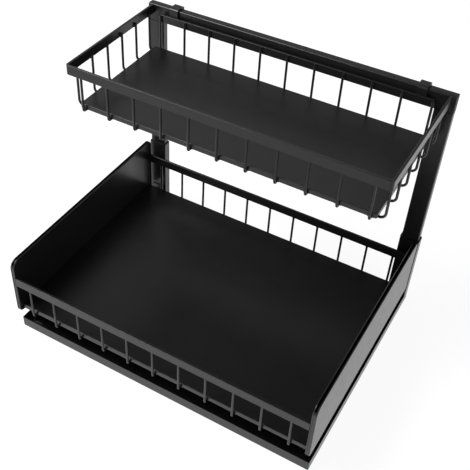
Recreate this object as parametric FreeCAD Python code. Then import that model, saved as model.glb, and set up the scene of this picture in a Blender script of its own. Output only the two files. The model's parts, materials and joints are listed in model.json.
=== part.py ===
"""Two tier under sink organizer: a tray that slides on a low base, and a basket on a rear frame."""
import FreeCAD, Part
import os

# The frame is millimetres, +Z up, front towards -Y, origin on the floor in the middle of the footprint.

# Base and feet
base_width = 400.0
base_depth = 307.0
base_flange = 14.5
base_sheet = 1.0
base_bend = 1.2
base_hem_round = 1.0
foot_height = 2.0
foot_diameter = 16.0
foot_inset = 24.0
foot_round = 0.5

# Rear frame: sleeves, posts and beam
sleeve_width = 25.0
sleeve_depth = 13.0
sleeve_wall = 1.2
sleeve_height = 109.0
sleeve_front_gap = 0.3
post_clearance = 0.3
post_wall = 1.0
post_socket_depth = 70.0
tube_inner_round = 0.5
frame_height = 321.0
end_cap_thickness = 1.2

# Foot brackets that hold the sleeves to the base
bracket_sheet = 1.5
bracket_width = 20.0
bracket_rise = 35.0
bracket_reach = 20.0
bracket_round = 4.0

# Screws and rivets
screw_shank = 4.0
screw_head = 7.4
screw_head_height = 1.9
screw_slot_width = 1.1
screw_slot_depth = 0.8
screw_hole_clearance = 0.2
screw_grip = 2.5
bracket_screw_spacing = 11.0
bracket_screw_height = 15.0
post_screw_low = 35.0
post_screw_high = 85.0
rivet_shank = 3.2
rivet_head = 5.6
rivet_head_height = 1.0
rivet_head_round = 0.8
rivet_count = 3
rivet_end_gap = 25.0

# Drawer slides, one on each side under the tray
slide_height = 17.0
slide_thickness = 10.0
slide_sheet = 1.0
slide_lip = 1.4
slide_lift = 0.7
slide_front_gap = 12.0
slide_rear_gap = 10.5
slide_side_gap = 9.0
slide_overlap = 70.0
slide_end_gap = 7.0
flange_reach = 7.5
race_gap = 3.0
ball_diameter = 2.4
ball_count = 6
ball_pitch = 10.5
cage_sheet = 0.5
cage_end = 5.0
cage_hole_clearance = 0.4
cage_web_gap = 0.4
angle_sheet = 1.5
angle_foot = 11.0
runner_sheet = 1.5
runner_leg = 14.0
runner_drop_gap = 1.2
bumper_gap = 0.5

# Sheet and wire that the tray and the basket share
sheet_corner = 2.0
sheet_edge_round = 0.8
wire_diameter = 3.0
bar_height = 12.0
bar_thickness = 3.0
bar_edge_round = 0.5
cut_margin = 1.0

# Tray: floor, folded side walls, rails and wires
tray_overhang = 6.0
wall_rear_gap = 5.5
wall_skin = 1.5
wall_gap = 2.5
wall_rise = 73.0
wall_drop = 10.0
wall_seam_depth = 0.4
wall_front_top_round = 11.0
wall_front_low_round = 6.0
wall_rear_top_round = 7.0
wall_rear_low_round = 4.0
skin_edge_round = 1.2
tray_sheet = 1.0
tray_lip = 6.0
tray_lip_clearance = 4.3
front_rail_rise = 36.2
back_rail_rise = 39.5
back_rail_inset = 3.0
tray_wire_count = 11
tray_wire_end_gap = 20.0
tray_wire_bend = 4.0
tray_wire_foot = 5.0

# Basket: rim, back bar, floor, wires and hooks
basket_depth = 175.0
basket_inner_height = 50.5
rim_inset = 6.5
rim_corner = 4.0
rim_back_gap = 0.5
basket_sheet = 1.0
basket_lip = 6.0
basket_wire_count = 11
basket_wire_end_gap = 17.7
basket_wire_lap = 5.0
basket_front_bend = 3.5
basket_wire_foot = 6.0
side_wire_count = 6
side_wire_front_gap = 14.5
side_wire_back_gap = 7.0
side_wire_bend = 6.5
side_wire_foot = 4.0
back_bar_height = 10.0
back_bar_drop = 8.0
back_bar_end = 0.7
back_wire_reach = 9.5
hook_width = 12.0
hook_thickness = 2.0
hook_inset = 33.5
hook_slack = 1.0
hook_front_slack = 1.0
hook_drop = 16.0
hook_rest_gap = 0.3
hook_round = 3.0

# Levels and places that follow from the sizes above
base_front = (tray_overhang - base_depth - screw_head_height) / 2
base_back = base_front + base_depth
base_side = base_width / 2
base_low = foot_height
base_top = base_low + base_sheet
flange_top = base_low + base_flange
sleeve_front = base_back - sleeve_depth
sleeve_inner_side = base_side - sleeve_width
sleeve_top = base_top + sleeve_height
post_step = sleeve_wall + post_clearance
post_front = sleeve_front + post_step
post_back = base_back - post_step
post_outer_side = base_side - post_step
post_inner_side = sleeve_inner_side + post_step
post_width = post_outer_side - post_inner_side
frame_top = base_low + frame_height
beam_low = frame_top - post_width
slide_low = flange_top + slide_lift
slide_top = slide_low + slide_height
slide_outer_side = base_side - slide_side_gap
slide_inner_side = slide_outer_side - slide_thickness
slide_front = base_front + slide_front_gap
slide_back = sleeve_front - bracket_sheet - bracket_reach - slide_rear_gap
slide_length = slide_back - slide_front
slide_travel = slide_length - slide_overlap
lip_low = slide_top + tray_lip_clearance
tray_floor_top = lip_low + tray_lip
wall_thickness = 2 * wall_skin + wall_gap
wall_inner_side = base_side - wall_thickness
wall_front = base_front - tray_overhang
wall_back = sleeve_front - wall_rear_gap
wall_low = tray_floor_top - wall_drop
wall_top = tray_floor_top + wall_rise
rail_front = wall_front
rail_back = wall_back - back_rail_inset
tray_front_wire_y = rail_front + bar_thickness / 2
tray_back_wire_y = rail_back - bar_thickness / 2
tray_foot_z = lip_low - wire_diameter / 2
rim_side = base_side - rim_inset
rim_front = post_front - basket_depth
rim_back = post_front - rim_back_gap
rim_low = frame_top - bar_height
basket_floor_top = frame_top - basket_inner_height
basket_foot_z = basket_floor_top - basket_lip - wire_diameter / 2
basket_front_wire_y = rim_front + bar_thickness + wire_diameter / 2
basket_side_wire_x = rim_side - bar_thickness - wire_diameter / 2
basket_wire_top = rim_low + basket_wire_lap
hook_front_leg = post_front - hook_front_slack
back_bar_back = hook_front_leg - hook_thickness
back_bar_front = back_bar_back - bar_thickness
basket_back_wire_y = back_bar_front - wire_diameter / 2
back_bar_top = frame_top - back_bar_drop

X_AXIS = FreeCAD.Vector(1, 0, 0)
Y_AXIS = FreeCAD.Vector(0, 1, 0)
Z_AXIS = FreeCAD.Vector(0, 0, 1)
MIDDLE = FreeCAD.Vector(0, 0, 0)
TOUCH = 1e-6


def block(x0, x1, y0, y1, z0, z1):
    """Box between two corners."""
    corner = FreeCAD.Vector(x0, y0, z0)
    return Part.makeBox(x1 - x0, y1 - y0, z1 - z0, corner)


def mirrored(shape):
    """The same piece on the left side."""
    return shape.mirror(MIDDLE, X_AXIS)


def rod(start, direction, radius, length):
    """Round bar from a start point along a direction."""
    return Part.makeCylinder(radius, length, start, direction)


def prism(points, direction):
    """Closed outline pushed along a direction."""
    outline = Part.makePolygon(points + [points[0]])
    return Part.Face(outline).extrude(direction)


def straight_edges(shape, axis):
    """Straight edges that run along an axis."""
    found = []
    for edge in shape.Edges:
        if isinstance(edge.Curve, Part.Line):
            if edge.Curve.Direction.cross(axis).Length < TOUCH:
                found.append(edge)
    return found


def rounded(shape, axis, radius, keep=None):
    """Rounds the edges along an axis, all of them or those that keep accepts by their middle."""
    picked = []
    for edge in straight_edges(shape, axis):
        if keep is None or keep(edge.CenterOfMass):
            picked.append(edge)
    return shape.makeFillet(radius, picked)


def flat_edges(shape, axis, level):
    """Edges that lie in the plane square to an axis at a level."""
    found = []
    for edge in shape.Edges:
        if all(abs(vertex.Point.dot(axis) - level) < TOUCH for vertex in edge.Vertexes):
            middle = edge.valueAt((edge.FirstParameter + edge.LastParameter) / 2)
            if abs(middle.dot(axis) - level) < TOUCH:
                found.append(edge)
    return found


def tube(width, depth, length, wall):
    """Rectangular tube that stands on the origin along +Z."""
    outside = block(0, width, 0, depth, 0, length)
    outside = rounded(outside, Z_AXIS, tube_inner_round + wall)
    hollow = block(wall, width - wall, wall, depth - wall, -cut_margin, length + cut_margin)
    return outside.cut(rounded(hollow, Z_AXIS, tube_inner_round))


def evenly(first, last, count):
    """Places from first to last, evenly spaced."""
    step = (last - first) / (count - 1)
    return [first + step * i for i in range(count)]


def bent_wire(top, corner, foot_end, bend):
    """Round wire from its top end down to a corner, and on along its foot."""
    down = (corner - top).normalize()
    along = (foot_end - corner).normalize()
    bend_start = corner - down * bend
    bend_end = corner + along * bend
    centre = bend_start + along * bend
    bend_middle = centre + (corner - centre).normalize() * bend
    path = Part.Wire([
        Part.LineSegment(top, bend_start).toShape(),
        Part.Arc(bend_start, bend_middle, bend_end).toShape(),
        Part.LineSegment(bend_end, foot_end).toShape(),
    ])
    section = Part.Wire(Part.Circle(top, down, wire_diameter / 2).toShape())
    return path.makePipeShell([section], True, True)


def wire_row(places, top, corner, foot_end, bend, axis):
    """Copies of one bent wire along an axis."""
    one = bent_wire(top, corner, foot_end, bend)
    return Part.makeCompound([one.translated(axis * place) for place in places])


def screw(seat, direction):
    """Slotted pan head screw whose head sits on seat, with its shank along direction."""
    back = direction * -1
    head = rod(seat, back, screw_head / 2, screw_head_height)
    top = seat + back * screw_head_height
    rim = [edge for edge in head.Edges if edge.CenterOfMass.distanceToPoint(top) < TOUCH]
    head = head.makeFillet(screw_head_height / 2, rim)
    side = X_AXIS if direction.cross(Z_AXIS).Length < TOUCH else Z_AXIS
    across = direction.cross(side)
    half = side * (screw_head / 2)
    width = across * (screw_slot_width / 2)
    corners = [top + half + width, top - half + width, top - half - width, top + half - width]
    slot = prism(corners, direction * screw_slot_depth)
    return head.cut(slot).fuse(rod(seat, direction, screw_shank / 2, screw_grip))


def screw_hole(seat, direction):
    """Clearance hole for a screw's shank, through whatever it grips."""
    radius = (screw_shank + screw_hole_clearance) / 2
    return rod(seat - direction * screw_grip, direction, radius, 2 * screw_grip)


def rivet(seat, direction, grip):
    """Domed rivet whose head sits on seat and whose shank ends flush."""
    head = rod(seat, direction * -1, rivet_head / 2, rivet_head_height)
    top = seat - direction * rivet_head_height
    rim = [edge for edge in head.Edges if edge.CenterOfMass.distanceToPoint(top) < TOUCH]
    head = head.makeFillet(rivet_head_round, rim)
    return head.fuse(rod(seat, direction, rivet_shank / 2, grip))


def rivet_holes(x, direction, grip):
    """Holes for a row of rivets, the size of their shanks."""
    holes = []
    for place in rivet_places():
        start = FreeCAD.Vector(x, place, rivet_level())
        holes.append(rod(start, direction, rivet_shank / 2, grip))
    return Part.makeCompound(holes)


def rivet_places():
    """Where the rivets stand along a slide."""
    return evenly(slide_front + rivet_end_gap, slide_back - rivet_end_gap, rivet_count)


def rivet_level():
    """Height of the rivets, the slide's middle."""
    return (slide_low + slide_top) / 2


def post_screw_seats():
    """Screw seats on the back of the right sleeve."""
    x = (sleeve_inner_side + base_side) / 2
    levels = [base_top + post_screw_low, base_top + post_screw_high]
    return [FreeCAD.Vector(x, base_back, level) for level in levels]


def bracket_middle():
    """Middle of the right foot bracket across the base."""
    return (sleeve_inner_side + base_side) / 2


def bracket_screw_offsets():
    """Screw places across a foot bracket."""
    half = bracket_screw_spacing / 2
    return [bracket_middle() - half, bracket_middle() + half]


def bracket_wall_seats():
    """Screw seats on the upright leg of the right foot bracket."""
    y = sleeve_front - bracket_sheet
    z = base_top + bracket_screw_height
    return [FreeCAD.Vector(x, y, z) for x in bracket_screw_offsets()]


def bracket_floor_seats():
    """Screw seats on the lying leg of the right foot bracket."""
    y = sleeve_front - bracket_sheet - bracket_reach / 2
    return [FreeCAD.Vector(x, y, base_top + bracket_sheet) for x in bracket_screw_offsets()]


def base_pan():
    """Folded sheet base: floor, low front flange and two low side flanges."""
    outside = block(-base_side, base_side, base_front, base_back, base_low, flange_top)
    outside = rounded(outside, Z_AXIS, base_bend, lambda middle: middle.y < 0)
    front_low = [edge for edge in outside.Edges if on_pan_hem(edge)]
    outside = outside.makeFillet(base_hem_round, front_low)
    inner_side = base_side - base_sheet
    inner_front = base_front + base_sheet
    past_back = base_back + cut_margin
    past_top = flange_top + cut_margin
    pan = outside.cut(block(-inner_side, inner_side, inner_front, past_back, base_top, past_top))
    room_front = sleeve_front - sleeve_front_gap
    room = block(sleeve_inner_side, base_side, room_front, past_back, base_top, past_top)
    pan = pan.cut(room).cut(mirrored(room))
    for seat in bracket_floor_seats():
        hole = screw_hole(seat, Z_AXIS * -1)
        pan = pan.cut(hole).cut(mirrored(hole))
    return pan


def on_pan_hem(edge):
    """The pan's lower outer edges at the front and sides."""
    box = edge.BoundBox
    low = abs(box.ZMin - base_low) < TOUCH and abs(box.ZMax - base_low) < TOUCH
    return low and box.YMin < base_back - TOUCH


def rubber_feet():
    """Four round pads under the base's corners."""
    pads = []
    for x in (-base_side + foot_inset, base_side - foot_inset):
        for y in (base_front + foot_inset, base_back - foot_inset):
            pad = rod(FreeCAD.Vector(x, y, 0), Z_AXIS, foot_diameter / 2, foot_height)
            pads.append(pad.makeFillet(foot_round, flat_edges(pad, Z_AXIS, 0)))
    return Part.makeCompound(pads)


def sleeve():
    """Lower post: a short tube that stands on the base's rear corner."""
    piece = tube(sleeve_width, sleeve_depth, sleeve_height, sleeve_wall)
    piece.translate(FreeCAD.Vector(sleeve_inner_side, sleeve_front, base_top))
    for seat in post_screw_seats():
        piece = piece.cut(screw_hole(seat, Y_AXIS * -1))
    for seat in bracket_wall_seats():
        piece = piece.cut(screw_hole(seat, Y_AXIS))
    return piece


def post():
    """Upper post: a slimmer tube that plugs into the sleeve and carries the beam."""
    low = sleeve_top - post_socket_depth
    piece = tube(post_width, post_back - post_front, beam_low - low, post_wall)
    piece.translate(FreeCAD.Vector(post_inner_side, post_front, low))
    for seat in post_screw_seats():
        piece = piece.cut(screw_hole(seat, Y_AXIS * -1))
    return piece


def beam_end():
    """Outer end of the beam's tube, inside its cap."""
    return post_outer_side - end_cap_thickness


def top_beam():
    """Tube across the top of both posts."""
    length = 2 * beam_end()
    piece = tube(post_width, post_back - post_front, length, post_wall)
    piece.rotate(MIDDLE, Y_AXIS, 90)
    piece.translate(FreeCAD.Vector(-length / 2, post_front, frame_top))
    return piece


def end_cap():
    """Flush cap on the beam's end."""
    cap = block(beam_end(), post_outer_side, post_front, post_back, beam_low, frame_top)
    cap = rounded(cap, X_AXIS, tube_inner_round + post_wall)
    return cap.makeFillet(end_cap_thickness / 2, flat_edges(cap, X_AXIS, post_outer_side))


def foot_bracket():
    """Angle that ties the sleeve's foot to the base."""
    x0 = bracket_middle() - bracket_width / 2
    x1 = bracket_middle() + bracket_width / 2
    upright_front = sleeve_front - bracket_sheet
    upright = block(x0, x1, upright_front, sleeve_front, base_top, base_top + bracket_rise)
    upright = rounded(upright, Y_AXIS, bracket_round, lambda middle: middle.z > base_top + bracket_sheet)
    lying_front = upright_front - bracket_reach
    lying = block(x0, x1, lying_front, sleeve_front, base_top, base_top + bracket_sheet)
    lying = rounded(lying, Z_AXIS, bracket_round, lambda middle: middle.y < upright_front)
    piece = upright.fuse(lying).removeSplitter()
    for seat in bracket_wall_seats():
        piece = piece.cut(screw_hole(seat, Y_AXIS))
    for seat in bracket_floor_seats():
        piece = piece.cut(screw_hole(seat, Z_AXIS * -1))
    return piece


def both_sides(pieces):
    """A group of solids with its mirror image."""
    return Part.makeCompound(pieces + [mirrored(piece) for piece in pieces])


def bracket_screws():
    """Screws of both foot brackets."""
    pieces = [screw(seat, Y_AXIS) for seat in bracket_wall_seats()]
    pieces += [screw(seat, Z_AXIS * -1) for seat in bracket_floor_seats()]
    return both_sides(pieces)


def post_screws():
    """Screws that lock the posts in the sleeves, from behind."""
    return both_sides([screw(seat, Y_AXIS * -1) for seat in post_screw_seats()])


def base_angle():
    """Angle on the base that carries the fixed slide member."""
    x0 = slide_outer_side
    points = [
        FreeCAD.Vector(x0 + angle_sheet, slide_front, base_top),
        FreeCAD.Vector(x0 + angle_sheet, slide_front, slide_top),
        FreeCAD.Vector(x0, slide_front, slide_top),
        FreeCAD.Vector(x0, slide_front, base_top + angle_sheet),
        FreeCAD.Vector(x0 - angle_foot, slide_front, base_top + angle_sheet),
        FreeCAD.Vector(x0 - angle_foot, slide_front, base_top),
    ]
    piece = prism(points, Y_AXIS * slide_length)
    return piece.cut(rivet_holes(x0, X_AXIS, angle_sheet))


def slide_mouth():
    """Open side of the fixed slide member, clear of the moving member's web."""
    return slide_inner_side + slide_sheet + cage_web_gap


def slide_outer():
    """Fixed slide member: a lipped channel that opens inwards."""
    out = slide_outer_side
    mouth = slide_mouth()
    t = slide_sheet
    outline = [
        (out, slide_low),
        (out, slide_top),
        (mouth, slide_top),
        (mouth, slide_top - t - slide_lip),
        (mouth + t, slide_top - t - slide_lip),
        (mouth + t, slide_top - t),
        (out - t, slide_top - t),
        (out - t, slide_low + t),
        (mouth + t, slide_low + t),
        (mouth + t, slide_low + t + slide_lip),
        (mouth, slide_low + t + slide_lip),
        (mouth, slide_low),
    ]
    points = [FreeCAD.Vector(x, slide_front, z) for x, z in outline]
    piece = prism(points, Y_AXIS * slide_length)
    return piece.cut(rivet_holes(out - t, X_AXIS, t))


def inner_member_low():
    """Lower face of the moving slide member."""
    return slide_low + slide_sheet + race_gap


def inner_member_top():
    """Upper face of the moving slide member."""
    return slide_top - slide_sheet - race_gap


def slide_inner():
    """Moving slide member: a channel that opens outwards into the fixed one."""
    x0 = slide_inner_side
    x1 = x0 + flange_reach
    t = slide_sheet
    low = inner_member_low()
    top = inner_member_top()
    outline = [
        (x0, low),
        (x1, low),
        (x1, low + t),
        (x0 + t, low + t),
        (x0 + t, top - t),
        (x1, top - t),
        (x1, top),
        (x0, top),
    ]
    points = [FreeCAD.Vector(x, slide_front, z) for x, z in outline]
    piece = prism(points, Y_AXIS * (slide_length - slide_end_gap))
    return piece.cut(rivet_holes(x0, X_AXIS, t))


def bumper():
    """Rubber stop in the closed end of the fixed member."""
    x0 = slide_inner_side + slide_sheet
    x1 = slide_outer_side - slide_sheet
    y0 = slide_back - slide_end_gap + bumper_gap
    z0 = slide_low + slide_sheet + slide_lip
    z1 = slide_top - slide_sheet - slide_lip
    return block(x0, x1, y0, slide_back, z0, z1)


def cage_length():
    """Length of a ball cage."""
    return (ball_count - 1) * ball_pitch + 2 * cage_end


def cage_front():
    """Front end of a ball cage with the tray shut, half the travel behind its open place."""
    return slide_front + slide_travel / 2


def race_levels():
    """Heights of the lower and upper ball rows."""
    low = slide_low + slide_sheet + race_gap / 2
    top = slide_top - slide_sheet - race_gap / 2
    return [low, top]


def ball_x():
    """Place of the ball rows across the slide."""
    return slide_inner_side + flange_reach / 2 + slide_sheet


def ball_places():
    """Places of the balls along a cage."""
    first = cage_front() + cage_end
    return evenly(first, first + (ball_count - 1) * ball_pitch, ball_count)


def balls():
    """Steel balls of one slide, two rows."""
    group = []
    for y in ball_places():
        for z in race_levels():
            group.append(Part.makeSphere(ball_diameter / 2, FreeCAD.Vector(ball_x(), y, z)))
    return Part.makeCompound(group)


def ball_cage():
    """Thin strip that keeps the balls of one slide apart."""
    outer = slide_outer_side - slide_sheet - cage_web_gap
    inner = slide_mouth() + slide_sheet + cage_web_gap
    low, top = race_levels()
    half = cage_sheet / 2
    outline = [
        (outer, low - half),
        (outer, top + half),
        (inner, top + half),
        (inner, top - half),
        (outer - cage_sheet, top - half),
        (outer - cage_sheet, low + half),
        (inner, low + half),
        (inner, low - half),
    ]
    points = [FreeCAD.Vector(x, cage_front(), z) for x, z in outline]
    cage = prism(points, Y_AXIS * cage_length())
    radius = (ball_diameter + cage_hole_clearance) / 2
    for y in ball_places():
        for z in (low, top):
            start = FreeCAD.Vector(ball_x(), y, z - cage_sheet)
            cage = cage.cut(rod(start, Z_AXIS, radius, 2 * cage_sheet))
    return cage


def runner_bracket():
    """Angle under the tray floor that carries the moving slide member."""
    x1 = slide_inner_side
    ceiling = tray_floor_top - tray_sheet
    low = flange_top + runner_drop_gap
    points = [
        FreeCAD.Vector(x1, slide_front, low),
        FreeCAD.Vector(x1, slide_front, ceiling),
        FreeCAD.Vector(x1 - runner_leg, slide_front, ceiling),
        FreeCAD.Vector(x1 - runner_leg, slide_front, ceiling - runner_sheet),
        FreeCAD.Vector(x1 - runner_sheet, slide_front, ceiling - runner_sheet),
        FreeCAD.Vector(x1 - runner_sheet, slide_front, low),
    ]
    piece = prism(points, Y_AXIS * (slide_length - slide_end_gap))
    return piece.cut(rivet_holes(x1 - runner_sheet, X_AXIS, runner_sheet))


def base_rivets():
    """Rivets that hold both fixed members to their angles."""
    grip = angle_sheet + slide_sheet
    x = slide_outer_side + angle_sheet
    seats = [FreeCAD.Vector(x, y, rivet_level()) for y in rivet_places()]
    return both_sides([rivet(seat, X_AXIS * -1, grip) for seat in seats])


def runner_rivets():
    """Rivets that hold both moving members to the tray's brackets."""
    grip = runner_sheet + slide_sheet
    x = slide_inner_side - runner_sheet
    seats = [FreeCAD.Vector(x, y, rivet_level()) for y in rivet_places()]
    return both_sides([rivet(seat, X_AXIS, grip) for seat in seats])


def lipped_sheet(half_width, front, back, top, sheet, lip):
    """Flat sheet with its four edges folded down."""
    outside = block(-half_width, half_width, front, back, top - lip, top)
    outside = rounded(outside, Z_AXIS, sheet_corner)
    outside = outside.makeFillet(sheet_edge_round, flat_edges(outside, Z_AXIS, top))
    inner_half = half_width - sheet
    below = top - lip - cut_margin
    inside = block(-inner_half, inner_half, front + sheet, back - sheet, below, top - sheet)
    return outside.cut(rounded(inside, Z_AXIS, sheet_corner - sheet))


def tray_floor():
    """Sheet floor of the tray."""
    front = tray_front_wire_y + tray_wire_bend
    back = tray_back_wire_y - tray_wire_bend
    return lipped_sheet(wall_inner_side, front, back, tray_floor_top, tray_sheet, tray_lip)


def corner_test(front, top):
    """Accepts the wall corners at the front or rear, upper or lower end."""
    middle_y = (wall_front + wall_back) / 2
    middle_z = (wall_low + wall_top) / 2
    return lambda place: (place.y < middle_y) == front and (place.z > middle_z) == top


def tray_wall():
    """Right side wall: a sheet folded double round its lower edge and both ends, open along the top."""
    wall = block(wall_inner_side, base_side, wall_front, wall_back, wall_low, wall_top)
    wall = rounded(wall, X_AXIS, wall_front_top_round, corner_test(True, True))
    wall = rounded(wall, X_AXIS, wall_front_low_round, corner_test(True, False))
    wall = rounded(wall, X_AXIS, wall_rear_top_round, corner_test(False, True))
    wall = rounded(wall, X_AXIS, wall_rear_low_round, corner_test(False, False))
    contour = flat_edges(wall, X_AXIS, wall_inner_side) + flat_edges(wall, X_AXIS, base_side)
    wall = wall.makeFillet(skin_edge_round, contour)
    slot_inner = wall_inner_side + wall_skin
    slot_outer = slot_inner + wall_gap
    past_top = wall_top + cut_margin
    slot_front = wall_front + wall_seam_depth + wall_skin
    slot_back = wall_back - wall_seam_depth - wall_skin
    slot = block(slot_inner, slot_outer, slot_front, slot_back, wall_low + wall_skin, past_top)
    past_front = wall_front - cut_margin
    past_back = wall_back + cut_margin
    front_seam = block(slot_inner, slot_outer, past_front, wall_front + wall_seam_depth, wall_low, past_top)
    rear_seam = block(slot_inner, slot_outer, wall_back - wall_seam_depth, past_back, wall_low, past_top)
    return wall.cut(slot).cut(front_seam).cut(rear_seam)


def flat_bar(half_length, front, low, height):
    """Flat bar on edge across the organizer."""
    bar = block(-half_length, half_length, front, front + bar_thickness, low, low + height)
    return rounded(bar, X_AXIS, bar_edge_round)


def tray_front_rail():
    """Flat bar across the tray's front."""
    return flat_bar(wall_inner_side, rail_front, tray_floor_top + front_rail_rise, bar_height)


def tray_back_rail():
    """Flat bar across the tray's back."""
    front = rail_back - bar_thickness
    return flat_bar(wall_inner_side, front, tray_floor_top + back_rail_rise, bar_height)


def tray_wire_places():
    """Places of the tray's wires across its width."""
    end = wall_inner_side - tray_wire_end_gap
    return evenly(-end, end, tray_wire_count)


def tray_wires(y, inwards, top):
    """Row of wires from a rail down and in under the tray floor."""
    foot = y + inwards * (tray_wire_bend + tray_wire_foot)
    return wire_row(
        tray_wire_places(),
        FreeCAD.Vector(0, y, top),
        FreeCAD.Vector(0, y, tray_foot_z),
        FreeCAD.Vector(0, foot, tray_foot_z),
        tray_wire_bend,
        X_AXIS,
    )


def tray_front_wires():
    """Wires below the tray's front rail."""
    return tray_wires(tray_front_wire_y, 1, tray_floor_top + front_rail_rise)


def tray_back_wires():
    """Wires below the tray's back rail."""
    return tray_wires(tray_back_wire_y, -1, tray_floor_top + back_rail_rise)


def in_front_half(place):
    """Accepts places in the front half of the basket's rim."""
    return place.y < (rim_front + rim_back) / 2


def basket_rim():
    """Flat bar on edge round the basket's left, front and right."""
    outside = block(-rim_side, rim_side, rim_front, rim_back, rim_low, frame_top)
    outside = rounded(outside, Z_AXIS, rim_corner, in_front_half)
    inner_side = rim_side - bar_thickness
    inner_front = rim_front + bar_thickness
    past_back = rim_back + cut_margin
    below = rim_low - cut_margin
    inside = block(-inner_side, inner_side, inner_front, past_back, below, frame_top + cut_margin)
    inside = rounded(inside, Z_AXIS, rim_corner - bar_thickness, in_front_half)
    rim = outside.cut(inside)
    ends = flat_edges(rim, Y_AXIS, rim_back)
    edges = flat_edges(rim, Z_AXIS, frame_top) + flat_edges(rim, Z_AXIS, rim_low)
    open_edges = [edge for edge in edges if not any(edge.isSame(end) for end in ends)]
    return rim.makeFillet(bar_edge_round, open_edges)


def basket_wire_places():
    """Places of the basket's wires across its width."""
    end = rim_side - basket_wire_end_gap
    return evenly(-end, end, basket_wire_count)


def basket_back_bar():
    """Flat bar across the basket's back, on its wires."""
    half = rim_side - basket_wire_end_gap + back_bar_end
    return flat_bar(half, back_bar_front, back_bar_top - back_bar_height, back_bar_height)


def basket_floor():
    """Sheet floor of the basket."""
    half = basket_side_wire_x - side_wire_bend
    front = basket_front_wire_y + basket_front_bend
    back = basket_back_wire_y - basket_front_bend
    return lipped_sheet(half, front, back, basket_floor_top, basket_sheet, basket_lip)


def basket_wires(y, inwards, top):
    """Row of wires down and in under the basket floor."""
    foot = y + inwards * (basket_front_bend + basket_wire_foot)
    return wire_row(
        basket_wire_places(),
        FreeCAD.Vector(0, y, top),
        FreeCAD.Vector(0, y, basket_foot_z),
        FreeCAD.Vector(0, foot, basket_foot_z),
        basket_front_bend,
        X_AXIS,
    )


def basket_front_wires():
    """Wires on the inside of the rim's front."""
    return basket_wires(basket_front_wire_y, 1, basket_wire_top)


def basket_back_wires():
    """Wires on the front of the back bar."""
    return basket_wires(basket_back_wire_y, -1, back_bar_top - back_bar_height + back_wire_reach)


def basket_side_wires():
    """Wires on the inside of the rim's right bar."""
    first = rim_front + side_wire_front_gap
    last = back_bar_front - side_wire_back_gap
    places = evenly(first, last, side_wire_count)
    x = basket_side_wire_x
    foot = x - side_wire_bend - side_wire_foot
    return wire_row(
        places,
        FreeCAD.Vector(x, 0, basket_wire_top),
        FreeCAD.Vector(x, 0, basket_foot_z),
        FreeCAD.Vector(foot, 0, basket_foot_z),
        side_wire_bend,
        Y_AXIS,
    )


def hook():
    """Strip from the back bar up, over the beam and down behind it."""
    x0 = rim_side - hook_inset - hook_width / 2
    t = hook_thickness
    front = hook_front_leg - t
    seat = frame_top + hook_rest_gap
    rear = post_back + hook_slack
    foot = back_bar_top - back_bar_height
    outline = [
        (front, foot),
        (hook_front_leg, foot),
        (hook_front_leg, seat),
        (rear, seat),
        (rear, frame_top - hook_drop),
        (rear + t, frame_top - hook_drop),
        (rear + t, seat + t),
        (front, seat + t),
    ]
    points = [FreeCAD.Vector(x0, y, z) for y, z in outline]
    strip = prism(points, X_AXIS * hook_width)
    strip = rounded(strip, X_AXIS, hook_round - t, lambda middle: abs(middle.z - seat) < TOUCH)
    return rounded(strip, X_AXIS, hook_round, lambda middle: middle.z > seat + t / 2)


def pieces():
    """Every piece by name."""
    made = {
        "base_pan": base_pan(),
        "rubber_feet": rubber_feet(),
        "top_beam": top_beam(),
        "foot_bracket_screws": bracket_screws(),
        "post_screws": post_screws(),
        "base_rivets": base_rivets(),
        "runner_rivets": runner_rivets(),
        "tray_floor": tray_floor(),
        "tray_front_rail": tray_front_rail(),
        "tray_back_rail": tray_back_rail(),
        "tray_front_wires": tray_front_wires(),
        "tray_back_wires": tray_back_wires(),
        "basket_rim": basket_rim(),
        "basket_back_bar": basket_back_bar(),
        "basket_floor": basket_floor(),
        "basket_front_wires": basket_front_wires(),
        "basket_back_wires": basket_back_wires(),
    }
    paired = {
        "sleeve": sleeve(),
        "post": post(),
        "beam_end_cap": end_cap(),
        "foot_bracket": foot_bracket(),
        "base_angle": base_angle(),
        "slide_outer": slide_outer(),
        "slide_inner": slide_inner(),
        "slide_bumper": bumper(),
        "ball_cage": ball_cage(),
        "balls": balls(),
        "runner_bracket": runner_bracket(),
        "tray_wall": tray_wall(),
        "basket_side_wires": basket_side_wires(),
        "hook": hook(),
    }
    for name, shape in paired.items():
        made["right_" + name] = shape
        made["left_" + name] = mirrored(shape)
    return made


os.makedirs("parts", exist_ok=True)
for node, solid in pieces().items():
    solid.exportStep("parts/" + node + ".step")
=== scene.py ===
"""Under sink organizer: finishes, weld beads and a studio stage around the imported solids."""
import json
import math

import bpy
from bpy.props import FloatProperty, FloatVectorProperty, IntProperty, PointerProperty
from mathutils import Matrix, Quaternion, Vector


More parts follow.
